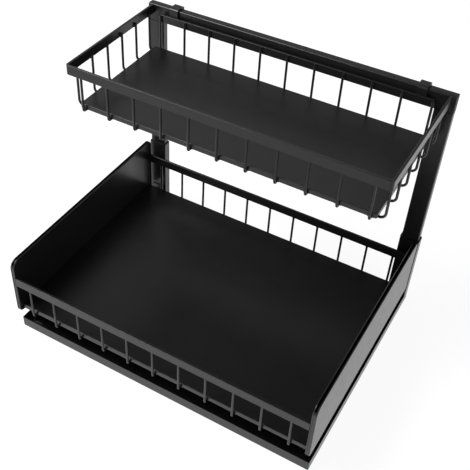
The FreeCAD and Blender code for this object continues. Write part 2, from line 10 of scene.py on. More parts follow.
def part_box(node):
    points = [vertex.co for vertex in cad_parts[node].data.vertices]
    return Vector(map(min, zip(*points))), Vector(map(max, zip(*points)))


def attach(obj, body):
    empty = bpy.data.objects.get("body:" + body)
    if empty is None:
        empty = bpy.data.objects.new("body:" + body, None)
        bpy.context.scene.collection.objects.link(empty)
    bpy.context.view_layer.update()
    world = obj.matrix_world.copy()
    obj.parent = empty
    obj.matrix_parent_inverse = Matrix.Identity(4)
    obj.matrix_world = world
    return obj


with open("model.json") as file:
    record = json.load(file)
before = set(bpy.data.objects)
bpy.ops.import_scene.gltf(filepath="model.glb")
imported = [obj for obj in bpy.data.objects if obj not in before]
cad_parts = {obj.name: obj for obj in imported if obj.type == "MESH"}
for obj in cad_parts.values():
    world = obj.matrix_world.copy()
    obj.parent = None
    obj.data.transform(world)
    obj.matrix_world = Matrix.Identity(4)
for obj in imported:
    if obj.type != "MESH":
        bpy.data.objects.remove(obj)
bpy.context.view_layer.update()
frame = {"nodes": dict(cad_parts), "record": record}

bl_info = {
    "name": "Under Sink Organizer",
    "version": (1, 0, 0),
    "blender": (4, 5, 0),
    "location": "3D View > Sidebar > Organizer",
    "description": "Finishes, weld beads and a studio stage for a two tier under sink organizer",
    "category": "Object",
}

SLOT_OF = {part["node"]: part["material_slot"] for part in frame["record"]["subparts"]}
AXES = {"X": Vector((1, 0, 0)), "Y": Vector((0, 1, 0)), "Z": Vector((0, 0, 1))}
WHITE = (1, 1, 1, 1)
# Places of the axes in a corner of a box
X = 0
Y = 1
SENSOR_WIDTH = 36
FLOOR_SIDES = 64
# Faces that meet at less than this are shaded as one
SMOOTH_ANGLE = math.radians(60)

# Sockets of a Mix node's colours, which share their names with its numbers
FIRST_COLOUR = 6
SECOND_COLOUR = 7
BLENDED_COLOUR = 2

# Share of the flow in the grain's height
FLOW_SHARE = 0.45
# Noise between these runs through the whole drift of tone
DRIFT_LOW = 0.35
DRIFT_HIGH = 0.65
# Patches of wear lie this many times closer than the drifts
WEAR_CLOSER = 6.0
# Share of the patches in the wear
WEAR_SHARE = 0.6
# Rolling marks are drawn out along Y
ROLLING_STRETCH = (1.0, 0.03, 1.0)

# Grains, waves of flow and drifts of tone per metre
BALL_SCALES = (2500.0, 700.0, 500.0)
SCREW_SCALES = (1800.0, 500.0, 420.0)
CAP_SCALES = (2200.0, 900.0, 60.0)
RUBBER_SCALES = (1500.0, 400.0, 180.0)
FLOOR_SCALES = (60.0, 8.0, 1.5)
# Rolling marks and flecks of plating per metre
ZINC_MARKS = 900.0
ZINC_FLECKS = 220.0
# Lowest and highest roughness
ZINC_ROUGHNESS = (0.26, 0.46)
BALL_ROUGHNESS = (0.08, 0.24)
SCREW_ROUGHNESS = (0.30, 0.44)
CAP_ROUGHNESS = (0.46, 0.60)
RUBBER_ROUGHNESS = (0.68, 0.86)
# Height of a relief in metres, and how strongly it shows
ZINC_RELIEF = (0.00005, 0.4)
SCREW_RELIEF = (0.00006, 0.4)
CAP_RELIEF = (0.00010, 0.5)
RUBBER_RELIEF = (0.00010, 0.4)
COAT_STRENGTH = 0.5
CAP_IOR = 1.45

# Widths along a bead, as shares of its full width
BEAD_END = 0.5
BEAD_CREST = 1.0
BEAD_DIP = 0.84
BEAD_SIDES = 8
# A bead's middle stands off a face or a corner by its width over these
ON_FACE = 4
IN_CORNER = 6
# A collar reaches up into its rail by a bead's width over this
INTO_RAIL = 8
# A foot's bead stands beside its wire by its length over this
BESIDE_WIRE = 4
# A long bead has this many times the ripples
LONG_BEAD = 2
# A hook's bead runs down this share of the back bar
HOOK_BEAD_SHARE = 0.8
# A collar's sizes along and through the rail in wire diameters, and its height in bead widths
COLLAR_ALONG = 1.7
COLLAR_THROUGH = 0.98
COLLAR_HEIGHT = 1.4
COLLAR_SIDES = 12
# Width kept and height dropped at each step down a collar
COLLAR_STEPS = ((0.9, 0.3), (0.8, 0.35), (0.82, 0.35))


# Sizes and colours


class CoatSettings(bpy.types.PropertyGroup):
    """The fine textured powder coat on sheets, tubes, bars and wires."""

    colour: FloatVectorProperty(
        name="Coat colour", description="Colour of the powder coat", subtype="COLOR", size=4,
        min=0, max=1, default=(0.0074, 0.0074, 0.0078, 1))
    worn_colour: FloatVectorProperty(
        name="Mottle colour", description="Lighter tone that drifts through the coat", subtype="COLOR",
        size=4, min=0, max=1, default=(0.0096, 0.0096, 0.0101, 1))
    grain_scale: FloatProperty(
        name="Grain scale", description="Grains of the coat's texture per metre", min=1, default=1400)
    peel_scale: FloatProperty(
        name="Peel scale", description="Waves of the coat's flow per metre", min=1, default=260)
    mottle_scale: FloatProperty(
        name="Mottle scale", description="Drifts of tone per metre", min=0.1, default=14)
    relief: FloatProperty(
        name="Relief", description="Height of the coat's texture", unit="LENGTH", precision=5,
        default=0.00012)
    smooth: FloatProperty(
        name="Smoothest", description="Roughness where the coat lies smooth", subtype="FACTOR",
        min=0, max=1, default=0.22)
    rough: FloatProperty(
        name="Roughest", description="Roughness where the coat lies coarse", subtype="FACTOR",
        min=0, max=1, default=0.38)
    ior: FloatProperty(
        name="Gloss index", description="Refractive index of the coat's surface",
        min=1, max=3, default=1.50)


class HardwareSettings(bpy.types.PropertyGroup):
    """The plated, oxide, moulded and rubber finishes of the fittings."""

    zinc_colour: FloatVectorProperty(
        name="Zinc colour", description="Colour of the plated slides", subtype="COLOR", size=4,
        min=0, max=1, default=(0.56, 0.57, 0.59, 1))
    zinc_dull_colour: FloatVectorProperty(
        name="Dull zinc colour", description="Colour of the plating's darker flecks", subtype="COLOR",
        size=4, min=0, max=1, default=(0.42, 0.43, 0.46, 1))
    ball_colour: FloatVectorProperty(
        name="Ball colour", description="Colour of the hardened balls", subtype="COLOR", size=4,
        min=0, max=1, default=(0.72, 0.72, 0.74, 1))
    ball_dull_colour: FloatVectorProperty(
        name="Greased ball colour", description="Colour of the balls under their grease",
        subtype="COLOR", size=4, min=0, max=1, default=(0.55, 0.54, 0.51, 1))
    oxide_colour: FloatVectorProperty(
        name="Oxide colour", description="Colour of the blackened screws", subtype="COLOR", size=4,
        min=0, max=1, default=(0.020, 0.020, 0.022, 1))
    oxide_rub_colour: FloatVectorProperty(
        name="Rubbed oxide colour", description="Colour of the screws where the driver rubbed",
        subtype="COLOR", size=4, min=0, max=1, default=(0.045, 0.045, 0.048, 1))
    plastic_colour: FloatVectorProperty(
        name="Plastic colour", description="Colour of the beam's end caps", subtype="COLOR", size=4,
        min=0, max=1, default=(0.017, 0.017, 0.018, 1))
    plastic_pale_colour: FloatVectorProperty(
        name="Pale plastic colour", description="Colour of the caps' moulded texture peaks",
        subtype="COLOR", size=4, min=0, max=1, default=(0.024, 0.024, 0.025, 1))
    rubber_colour: FloatVectorProperty(
        name="Rubber colour", description="Colour of the feet and bumpers", subtype="COLOR", size=4,
        min=0, max=1, default=(0.014, 0.014, 0.014, 1))
    rubber_bloom_colour: FloatVectorProperty(
        name="Rubber bloom colour", description="Greyish bloom on the rubber", subtype="COLOR", size=4,
        min=0, max=1, default=(0.030, 0.030, 0.029, 1))


class WeldSettings(bpy.types.PropertyGroup):
    """The weld beads that join wires, bars, sheets and hooks."""

    wire_diameter: FloatProperty(
        name="Wire diameter", description="Thickness of the round wires", unit="LENGTH", default=0.003)
    bar_thickness: FloatProperty(
        name="Bar thickness", description="Thickness of the flat bars", unit="LENGTH", default=0.003)
    sheet_thickness: FloatProperty(
        name="Sheet thickness", description="Thickness of the floors' sheet", unit="LENGTH",
        default=0.001)
    cross_wires: IntProperty(
        name="Wires across", description="Wires along the front or back", min=2, default=11)
    side_wires: IntProperty(
        name="Wires along a side", description="Wires along one side of the basket", min=2, default=6)
    bead_width: FloatProperty(
        name="Bead width", description="Width of a weld bead", unit="LENGTH", precision=4,
        default=0.0013)
    upright_bead: FloatProperty(
        name="Upright bead", description="Length of a bead along a wire", unit="LENGTH", default=0.0042)
    foot_bead: FloatProperty(
        name="Foot bead", description="Length of a bead at a wire's foot", unit="LENGTH", default=0.0028)
    seam_bead: FloatProperty(
        name="Seam bead", description="Length of a bead between a bar and a sheet", unit="LENGTH",
        default=0.010)
    ripples: IntProperty(name="Ripples", description="Ripples along a bead", min=1, default=4)


class StageSettings(bpy.types.PropertyGroup):
    """Floor, light and camera."""

    floor_radius: FloatProperty(
        name="Floor radius", description="Radius of the floor", unit="LENGTH", default=8.0)
    floor_colour: FloatVectorProperty(
        name="Floor colour", description="Colour of the floor", subtype="COLOR", size=4, min=0, max=1,
        default=(0.24, 0.24, 0.24, 1))
    floor_tint: FloatVectorProperty(
        name="Floor tint", description="Second tone of the floor", subtype="COLOR", size=4, min=0, max=1,
        default=(0.22, 0.22, 0.22, 1))
    # Painted pool of light: the floor glows brighter in a round about the organizer, for the camera and
    # in the organizer's reflections
    painted_pool_light: FloatProperty(
        name="Pool glow",
        description="White added to the floor round the organizer where it is seen or mirrored",
        min=0, default=0.90)
    floor_glow: FloatProperty(
        name="Floor glow",
        description="White added to the rest of the floor where it is seen or mirrored",
        min=0, default=0.42)
    # The white round is the painted pool of light, not a paler floor colour
    painted_pool_centre: FloatVectorProperty(
        name="Pool centre", description="Middle of the white round on the floor", subtype="XYZ",
        unit="LENGTH", size=3, default=(-0.20, 0.38, 0))
    painted_pool_radius: FloatProperty(
        name="Pool radius", description="Radius of the white round on the floor", unit="LENGTH",
        default=0.73)
    painted_pool_fade: FloatProperty(
        name="Pool fade", description="Width of the white round's soft edge", unit="LENGTH",
        default=0.24)
    wall_light: FloatProperty(
        name="Wall light", description="Brightness of the room's walls near the floor",
        min=0, default=0.56)
    ceiling_light: FloatProperty(
        name="Ceiling light", description="Brightness of the room above the walls", min=0, default=0.05)
    wall_top: FloatProperty(
        name="Wall top", description="Where the walls begin to dim, 0 for level and 1 for overhead",
        subtype="FACTOR", min=0, max=1, default=0.35)
    ceiling_edge: FloatProperty(
        name="Ceiling edge", description="Where the ceiling begins, 0 for level and 1 for overhead",
        subtype="FACTOR", min=0, max=1, default=0.61)
    lamp_aim: FloatVectorProperty(
        name="Lamp aim", description="Where the lamps on the left and right face", subtype="XYZ",
        unit="LENGTH", size=3, default=(0, 0, 0.15))
    key_place: FloatVectorProperty(
        name="Key lamp place", description="Where the lamp on the left stands", subtype="XYZ",
        unit="LENGTH", size=3, default=(-0.84, -0.48, 1.30))
    key_size: FloatVectorProperty(
        name="Key lamp size", description="Width and height of the lamp on the left",
        unit="LENGTH", size=2, default=(0.9, 0.9))
    key_power: FloatProperty(
        name="Key lamp power", description="Power of the lamp on the left", unit="POWER", default=24.0)
    back_place: FloatVectorProperty(
        name="Back lamp place", description="Where the strip lamp behind hangs", subtype="XYZ",
        unit="LENGTH", size=3, default=(-0.25, 0.40, 0.64))
    back_size: FloatVectorProperty(
        name="Back lamp size", description="Width and height of the strip lamp behind",
        unit="LENGTH", size=2, default=(0.70, 0.14))
    back_power: FloatProperty(
        name="Back lamp power", description="Power of the strip lamp behind", unit="POWER", default=0.20)
    fill_place: FloatVectorProperty(
        name="Fill lamp place", description="Where the lamp on the right stands", subtype="XYZ",
        unit="LENGTH", size=3, default=(1.2, -0.6, 0.7))
    fill_size: FloatVectorProperty(
        name="Fill lamp size", description="Width and height of the lamp on the right",
        unit="LENGTH", size=2, default=(0.8, 0.8))
    fill_power: FloatProperty(
        name="Fill lamp power", description="Power of the lamp on the right", unit="POWER", default=4.0)
    camera_place: FloatVectorProperty(
        name="Camera place", description="Where the camera stands", subtype="XYZ", unit="LENGTH", size=3,
        default=(0.3346, -0.6397, 0.7978))
    camera_aim: FloatVectorProperty(
        name="Camera aim", description="Where the camera looks", subtype="XYZ", unit="LENGTH", size=3,
        default=(-0.0199, -0.0096, 0.15))
    camera_roll: FloatProperty(
        name="Camera roll", description="Tilt of the camera about its view", subtype="ANGLE",
        default=math.radians(2.0))
    lens: FloatProperty(
        name="Lens", description="Focal length", unit="CAMERA", default=62.57)
    shift_x: FloatProperty(
        name="Shift X", description="Sideways shift of the picture", default=0.0637)
    shift_y: FloatProperty(
        name="Shift Y", description="Upward shift of the picture", default=-0.0193)


# Shader building blocks


def new_node(tree, kind, x, y, **values):
    """Adds a node and sets its properties and named inputs."""
    node = tree.nodes.new(kind)
    node.location = (x, y)
    for key, value in values.items():
        if hasattr(node, key):
            setattr(node, key, value)
        else:
            node.inputs[key.replace("_", " ")].default_value = value
    return node


def new_group(name, inputs, outputs):
    """Makes an empty shader group with named sockets, and returns it with its two ends."""
    group = bpy.data.node_groups.new(name, "ShaderNodeTree")
    for label, kind in inputs:
        group.interface.new_socket(label, in_out="INPUT", socket_type=kind)
    for label, kind in outputs:
        group.interface.new_socket(label, in_out="OUTPUT", socket_type=kind)
    entry = new_node(group, "NodeGroupInput", -700, 0)
    leave = new_node(group, "NodeGroupOutput", 500, 0)
    return group, entry, leave


def grain_group():
    """Fine grain over a softer flow, with a slow drift of tone and patches of wear."""
    group, entry, leave = new_group(
        "FineGrain",
        [("Vector", "NodeSocketVector"), ("Grain Scale", "NodeSocketFloat"),
         ("Flow Scale", "NodeSocketFloat"), ("Drift Scale", "NodeSocketFloat")],
        [("Height", "NodeSocketFloat"), ("Drift", "NodeSocketFloat"), ("Grain", "NodeSocketFloat"),
         ("Wear", "NodeSocketFloat")])
    link = group.links.new
    grain = new_node(group, "ShaderNodeTexNoise", -450, 200, Detail=2.0, Roughness=0.6)
    flow = new_node(group, "ShaderNodeTexNoise", -450, -50, Detail=1.0, Roughness=0.4)
    drift = new_node(group, "ShaderNodeTexNoise", -450, -300, Detail=3.0, Roughness=0.55)
    for node, scale in ((grain, "Grain Scale"), (flow, "Flow Scale"), (drift, "Drift Scale")):
        link(entry.outputs["Vector"], node.inputs["Vector"])
        link(entry.outputs[scale], node.inputs["Scale"])
    both = new_node(group, "ShaderNodeMix", -150, 100)
    both.inputs["Factor"].default_value = FLOW_SHARE
    link(grain.outputs["Fac"], both.inputs["A"])
    link(flow.outputs["Fac"], both.inputs["B"])
    spread = new_node(group, "ShaderNodeMapRange", -150, -250)
    spread.inputs["From Min"].default_value = DRIFT_LOW
    spread.inputs["From Max"].default_value = DRIFT_HIGH
    link(drift.outputs["Fac"], spread.inputs["Value"])
    link(both.outputs["Result"], leave.inputs["Height"])
    link(spread.outputs["Result"], leave.inputs["Drift"])
    link(grain.outputs["Fac"], leave.inputs["Grain"])
    patches = new_node(group, "ShaderNodeTexNoise", -450, -550, Detail=4.0, Roughness=0.65)
    link(entry.outputs["Vector"], patches.inputs["Vector"])
    closer = new_node(group, "ShaderNodeMath", -600, -550, operation="MULTIPLY")
    closer.inputs[1].default_value = WEAR_CLOSER
    link(entry.outputs["Drift Scale"], closer.inputs[0])
    link(closer.outputs["Value"], patches.inputs["Scale"])
    rubbed = new_node(group, "ShaderNodeMix", -150, -500)
    rubbed.inputs["Factor"].default_value = WEAR_SHARE
    link(grain.outputs["Fac"], rubbed.inputs["A"])
    link(patches.outputs["Fac"], rubbed.inputs["B"])
    link(rubbed.outputs["Result"], leave.inputs["Wear"])
    return group


def rolling_group():
    """Drawn-out marks along the rolling direction, with pale and dull flecks of plating."""
    group, entry, leave = new_group(
        "RolledPlating",
        [("Vector", "NodeSocketVector"), ("Mark Scale", "NodeSocketFloat"),
         ("Fleck Scale", "NodeSocketFloat")],
        [("Height", "NodeSocketFloat"), ("Fleck", "NodeSocketFloat")])
    link = group.links.new
    stretch = new_node(group, "ShaderNodeMapping", -500, 150)
    stretch.inputs["Scale"].default_value = ROLLING_STRETCH
    marks = new_node(group, "ShaderNodeTexNoise", -250, 150, Detail=4.0, Roughness=0.65)
    flecks = new_node(group, "ShaderNodeTexVoronoi", -250, -150, feature="SMOOTH_F1")
    link(entry.outputs["Vector"], stretch.inputs["Vector"])
    link(stretch.outputs["Vector"], marks.inputs["Vector"])
    link(entry.outputs["Mark Scale"], marks.inputs["Scale"])
    link(entry.outputs["Vector"], flecks.inputs["Vector"])
    link(entry.outputs["Fleck Scale"], flecks.inputs["Scale"])
    link(marks.outputs["Fac"], leave.inputs["Height"])
    link(flecks.outputs["Distance"], leave.inputs["Fleck"])
    return group


def shared_group(name, maker):
    """The group of that name, built the first time it is asked for."""
    return bpy.data.node_groups.get(name) or maker()


def start_material(name):
    """A new node material with its surface, its output and the piece's own coordinates."""
    material = bpy.data.materials.new(name)
    material.use_nodes = True
    surface = material.node_tree.nodes["Principled BSDF"]
    place = new_node(material.node_tree, "ShaderNodeTexCoord", -1100, 0)
    return material, surface, place


def place_group(tree, group, place, **values):
    """Puts a shared group into a material, on the piece's own coordinates."""
    node = new_node(tree, "ShaderNodeGroup", -850, 0)
    node.node_tree = group
    for key, value in values.items():
        node.inputs[key.replace("_", " ")].default_value = value
    tree.links.new(place.outputs["Object"], node.inputs["Vector"])
    return node


def place_grain(tree, place, scales):
    """Puts the fine grain into a material, at its grains, waves and drifts per metre."""
    grain, flow, drift = scales
    return place_group(
        tree, shared_group("FineGrain", grain_group), place,
        Grain_Scale=grain, Flow_Scale=flow, Drift_Scale=drift)


def mix_colours(tree, mask, first, second, surface):
    """Blends two colours by a mask into the surface's base colour."""
    blend = new_node(tree, "ShaderNodeMix", -450, 250, data_type="RGBA")
    blend.inputs[FIRST_COLOUR].default_value = first
    blend.inputs[SECOND_COLOUR].default_value = second
    tree.links.new(mask, blend.inputs["Factor"])
    tree.links.new(blend.outputs[BLENDED_COLOUR], surface.inputs["Base Color"])


def vary_roughness(tree, mask, limits, surface):
    """Lets the roughness run between two values with a mask."""
    spread = new_node(tree, "ShaderNodeMapRange", -450, 0)
    spread.inputs["To Min"].default_value, spread.inputs["To Max"].default_value = limits
    tree.links.new(mask, spread.inputs["Value"])
    tree.links.new(spread.outputs["Result"], surface.inputs["Roughness"])


def raise_relief(tree, height, relief, surface):
    """Gives the surface a fine relief of a height and strength."""
    bump = new_node(tree, "ShaderNodeBump", -450, -250)
    bump.inputs["Distance"].default_value, bump.inputs["Strength"].default_value = relief
    tree.links.new(height, bump.inputs["Height"])
    tree.links.new(bump.outputs["Normal"], surface.inputs["Normal"])


# Finishes


def powder_coat(settings):
    """Matte black powder coat with a fine sandy texture."""
    material, surface, place = start_material("black_powder_coat")
    tree = material.node_tree
    scales = (settings.grain_scale, settings.peel_scale, settings.mottle_scale)
    texture = place_grain(tree, place, scales)
    mix_colours(tree, texture.outputs["Drift"], settings.colour, settings.worn_colour, surface)
    vary_roughness(tree, texture.outputs["Wear"], (settings.smooth, settings.rough), surface)
    raise_relief(tree, texture.outputs["Height"], (settings.relief, COAT_STRENGTH), surface)
    surface.inputs["IOR"].default_value = settings.ior
    return material


def zinc_plate(settings):
    """Bright zinc on rolled sheet, with lines along the slide."""
    material, surface, place = start_material("zinc_steel")
    tree = material.node_tree
    texture = place_group(
        tree, shared_group("RolledPlating", rolling_group), place,
        Mark_Scale=ZINC_MARKS, Fleck_Scale=ZINC_FLECKS)
    mix_colours(tree, texture.outputs["Fleck"], settings.zinc_dull_colour, settings.zinc_colour, surface)
    vary_roughness(tree, texture.outputs["Height"], ZINC_ROUGHNESS, surface)
    raise_relief(tree, texture.outputs["Height"], ZINC_RELIEF, surface)
    surface.inputs["Metallic"].default_value = 1.0
    return material


def ball_steel(settings):
    """Polished steel with a film of grease."""
    material, surface, place = start_material("ball_steel")
    tree = material.node_tree
    texture = place_grain(tree, place, BALL_SCALES)
    mix_colours(tree, texture.outputs["Drift"], settings.ball_colour, settings.ball_dull_colour, surface)
    vary_roughness(tree, texture.outputs["Drift"], BALL_ROUGHNESS, surface)
    surface.inputs["Metallic"].default_value = 1.0
    return material


def oxide_screw(settings):
    """Blackened steel, rubbed lighter here and there."""
    material, surface, place = start_material("black_screw")
    tree = material.node_tree
    texture = place_grain(tree, place, SCREW_SCALES)
    black, rubbed = settings.oxide_colour, settings.oxide_rub_colour
    mix_colours(tree, texture.outputs["Drift"], black, rubbed, surface)
    vary_roughness(tree, texture.outputs["Grain"], SCREW_ROUGHNESS, surface)
    raise_relief(tree, texture.outputs["Height"], SCREW_RELIEF, surface)
    return material


def cap_plastic(settings):
    """Black moulded plastic with a fine spark-eroded texture."""
    material, surface, place = start_material("cap_plastic")
    tree = material.node_tree
    texture = place_grain(tree, place, CAP_SCALES)
    dark, pale = settings.plastic_colour, settings.plastic_pale_colour
    mix_colours(tree, texture.outputs["Grain"], dark, pale, surface)
    vary_roughness(tree, texture.outputs["Grain"], CAP_ROUGHNESS, surface)
    raise_relief(tree, texture.outputs["Height"], CAP_RELIEF, surface)
    surface.inputs["IOR"].default_value = CAP_IOR
    return material


def foot_rubber(settings):
    """Dull black rubber with a faint bloom."""
    material, surface, place = start_material("rubber")
    tree = material.node_tree
    texture = place_grain(tree, place, RUBBER_SCALES)
    dark, bloom = settings.rubber_colour, settings.rubber_bloom_colour
    mix_colours(tree, texture.outputs["Drift"], dark, bloom, surface)
    vary_roughness(tree, texture.outputs["Grain"], RUBBER_ROUGHNESS, surface)
    raise_relief(tree, texture.outputs["Height"], RUBBER_RELIEF, surface)
    return material


def shared_material(slot, context):
    """The finish of a material slot, built the first time it is asked for."""
    makers = {
        "black_powder_coat": lambda: powder_coat(context.scene.organizer_coat),
        "zinc_steel": lambda: zinc_plate(context.scene.organizer_hardware),
        "ball_steel": lambda: ball_steel(context.scene.organizer_hardware),
        "black_screw": lambda: oxide_screw(context.scene.organizer_hardware),
        "cap_plastic": lambda: cap_plastic(context.scene.organizer_hardware),
        "rubber": lambda: foot_rubber(context.scene.organizer_hardware),
    }
    made = [m for m in bpy.data.materials if m.get("organizer_slot") == slot]
    if made:
        return made[0]
    material = makers[slot]()
    material["organizer_slot"] = slot
    return material


def finish_nodes(names, context):
    """Gives CAD nodes the finish of their slot."""
    for name in names:
        piece = frame["nodes"][name]
        material = shared_material(SLOT_OF[name], context)
        piece.data.materials.clear()
        piece.data.materials.append(material)
        for face in piece.data.polygons:
            face.material_index = 0


def nodes_of(body):
    """Names of the CAD nodes on a body."""
    return frame["record"]["behaviour"]["bodies"][body]


# Weld beads


def deselect_all():
    """Leaves nothing selected."""
    bpy.ops.object.select_all(action="DESELECT")


def start_round(sides, radius):
    """Begins a piece with a flat round, in edit mode and selected all over."""
    deselect_all()
    bpy.ops.mesh.primitive_circle_add(vertices=sides, radius=radius, fill_type="NGON")
    piece = bpy.context.object
    bpy.ops.object.mode_set(mode="EDIT")
    bpy.ops.mesh.select_all(action="SELECT")
    return piece


def draw_out(rise, widths, centre):
    """Draws the selected end on along Z and changes its widths about a point."""
    bpy.ops.mesh.extrude_region_move(TRANSFORM_OT_translate={"value": (0, 0, rise)})
    bpy.ops.transform.resize(value=(*widths, 1), center_override=centre)


def end_round():
    """Turns the faces outwards, leaves edit mode and shades the piece smooth."""
    bpy.ops.mesh.select_all(action="SELECT")
    bpy.ops.mesh.normals_make_consistent(inside=False)
    bpy.ops.object.mode_set(mode="OBJECT")
    bpy.ops.object.shade_smooth_by_angle(angle=SMOOTH_ANGLE)


def ripple_bead(width, length, ripples):
    """One weld bead along +Z, a round that is drawn out ring by ring."""
    rings = [BEAD_END] + [BEAD_CREST, BEAD_DIP] * ripples
    rings[-1] = BEAD_END
    step = length / (len(rings) - 1)
    bead = start_round(BEAD_SIDES, width / 2 * BEAD_END)
    bpy.ops.transform.translate(value=(0, 0, -length / 2))
    for number, (old, new) in enumerate(zip(rings, rings[1:]), 1):
        level = number * step - length / 2
        draw_out(step, (new / old, new / old), (0, 0, level))
    end_round()
    return bead


def weld_collar(along, through, height):
    """One weld round the top of a wire, wide along the rail and flush with the rail's faces."""
    collar = start_round(COLLAR_SIDES, 1 / 2)
    bpy.ops.transform.resize(value=(along, through, 1), center_override=(0, 0, 0))
    for share, drop in COLLAR_STEPS:
        draw_out(-height * drop, (share, (1 + share) / 2), (0, 0, 0))
    end_round()
    return collar


def repeat_as(name, pattern, places):
    """Copies a modelled piece to its places and joins the copies to one piece."""
    copies = []
    for place in places:
        copy = pattern.copy()
        copy.data = pattern.data.copy()
        copy.data.transform(place)
        bpy.context.collection.objects.link(copy)
        copies.append(copy)
    bpy.data.objects.remove(pattern)
    if not copies:
        raise RuntimeError("no places for " + name)
    deselect_all()
    for copy in copies:
        copy.select_set(True)
    bpy.context.view_layer.objects.active = copies[0]
    bpy.ops.object.join()
    piece = bpy.context.object
    piece.name = name
    piece.data.name = name
    return piece


def hand_over(piece, body, slot, context):
    """Gives a new piece its finish and its body."""
    piece.data.materials.clear()
    piece.data.materials.append(shared_material(slot, context))
    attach(piece, body)


def lay_welds(name, body, pattern, places, context):
    """Repeats a weld at its places, as one coated piece on a body."""
    hand_over(repeat_as(name, pattern, places), body, "black_powder_coat", context)


def evenly(first, last, count):
    """Places from first to last, evenly spaced."""
    return [first + (last - first) * i / (count - 1) for i in range(count)]


def wire_places(node, axis, count, diameter):
    """Places of a row of wires along an axis."""
    low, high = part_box(node)
    return evenly(low[axis] + diameter / 2, high[axis] - diameter / 2, count)


def at(x, y, z, direction="Z"):
    """Matrix that puts a bead's middle at a point, along an axis."""
    turn = AXES["Z"].rotation_difference(AXES[direction])
    return Matrix.Translation((x, y, z)) @ turn.to_matrix().to_4x4()


def basket_wire_welds(settings, context):
    """Upright beads on both sides of each basket wire, where it lies on the rim or the back bar."""
    rim_low, rim_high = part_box("basket_rim")
    bar_low, bar_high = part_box("basket_back_bar")
    beside = settings.wire_diameter / 2
    off = settings.bead_width / ON_FACE
    half = settings.upright_bead / 2
    places = []
    front = rim_low.y + settings.bar_thickness + off
    for x in wire_places("basket_front_wires", X, settings.cross_wires, settings.wire_diameter):
        for side in (-beside, beside):
            places.append(at(x + side, front, rim_low.z + half))
    for x in wire_places("basket_back_wires", X, settings.cross_wires, settings.wire_diameter):
        for side in (-beside, beside):
            places.append(at(x + side, bar_low.y - off, (bar_low.z + bar_high.z) / 2))
    inner = rim_high.x - settings.bar_thickness - off
    for y in wire_places("right_basket_side_wires", Y, settings.side_wires, settings.wire_diameter):
        for side in (-beside, beside):
            places.append(at(inner, y + side, rim_low.z + half))
            places.append(at(-inner, y + side, rim_low.z + half))
    bead = ripple_bead(settings.bead_width, settings.upright_bead, settings.ripples)
    lay_welds("basket_wire_welds", "basket", bead, places, context)


def foot_weld_places(floor, wires, axis, count, settings):
    """Places of the beads at the feet of a row of wires, where they cross the floor's folded edge."""
    low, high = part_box(floor)
    row_low, row_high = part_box(wires)
    beside = settings.wire_diameter / 2 + settings.foot_bead / BESIDE_WIRE
    z = low.z - settings.bead_width / IN_CORNER
    inset = settings.sheet_thickness / 2
    across = Y if axis == X else X
    near_low = abs(row_low[across] - low[across]) < abs(row_high[across] - high[across])
    edge = low[across] + inset if near_low else high[across] - inset
    places = []
    for along in wire_places(wires, axis, count, settings.wire_diameter):
        for side in (-beside, beside):
            point = (along + side, edge, z) if axis == X else (edge, along + side, z)
            places.append(at(*point, "X" if axis == X else "Y"))
    return places


def basket_foot_welds(settings, context):
    """Beads where the basket's wires cross the floor's folded edge."""
    places = []
    for wires in ("basket_front_wires", "basket_back_wires"):
        places += foot_weld_places("basket_floor", wires, X, settings.cross_wires, settings)
    for wires in ("left_basket_side_wires", "right_basket_side_wires"):
        places += foot_weld_places("basket_floor", wires, Y, settings.side_wires, settings)
    bead = ripple_bead(settings.bead_width, settings.foot_bead, settings.ripples)
    lay_welds("basket_foot_welds", "basket", bead, places, context)


def hook_welds(settings, context):
    """Beads on both sides of each hook, down the back bar's rear face."""
    bar_low, bar_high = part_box("basket_back_bar")
    behind = bar_high.y + settings.bead_width / ON_FACE
    places = []
    for node in ("left_hook", "right_hook"):
        low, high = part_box(node)
        for x in (low.x, high.x):
            places.append(at(x, behind, (bar_low.z + bar_high.z) / 2))
    length = (bar_high.z - bar_low.z) * HOOK_BEAD_SHARE
    bead = ripple_bead(settings.bead_width, length, LONG_BEAD * settings.ripples)
    lay_welds("hook_welds", "basket", bead, places, context)


def tray_wire_welds(settings, context):
    """Collars round the tops of the tray's wires, under the rails."""
    places = []
    for wires, rail in (("tray_front_wires", "tray_front_rail"), ("tray_back_wires", "tray_back_rail")):
        low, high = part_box(rail)
        for x in wire_places(wires, X, settings.cross_wires, settings.wire_diameter):
            places.append(at(x, (low.y + high.y) / 2, low.z + settings.bead_width / INTO_RAIL))
    collar = weld_collar(
        settings.wire_diameter * COLLAR_ALONG, settings.wire_diameter * COLLAR_THROUGH,
        settings.bead_width * COLLAR_HEIGHT)
    lay_welds("tray_wire_welds", "tray", collar, places, context)


def tray_foot_welds(settings, context):
    """Beads where the tray's wires cross the floor's folded edge."""
    places = []
    for wires in ("tray_front_wires", "tray_back_wires"):
        places += foot_weld_places("tray_floor", wires, X, settings.cross_wires, settings)
    bead = ripple_bead(settings.bead_width, settings.foot_bead, settings.ripples)
    lay_welds("tray_foot_welds", "tray", bead, places, context)


def rail_welds(settings, context):
    """Upright beads where the rails meet the walls, on the rails' inner faces."""
    tuck = settings.bead_width / IN_CORNER
    places = []
    for rail, inner in (("tray_front_rail", 1), ("tray_back_rail", -1)):
        low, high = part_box(rail)
        y = (high.y if inner > 0 else low.y) + inner * tuck
        for x in (low.x + tuck, high.x - tuck):
            places.append(at(x, y, (low.z + high.z) / 2))
    bead = ripple_bead(settings.bead_width, settings.seam_bead, LONG_BEAD * settings.ripples)
    lay_welds("rail_welds", "tray", bead, places, context)


# Stage


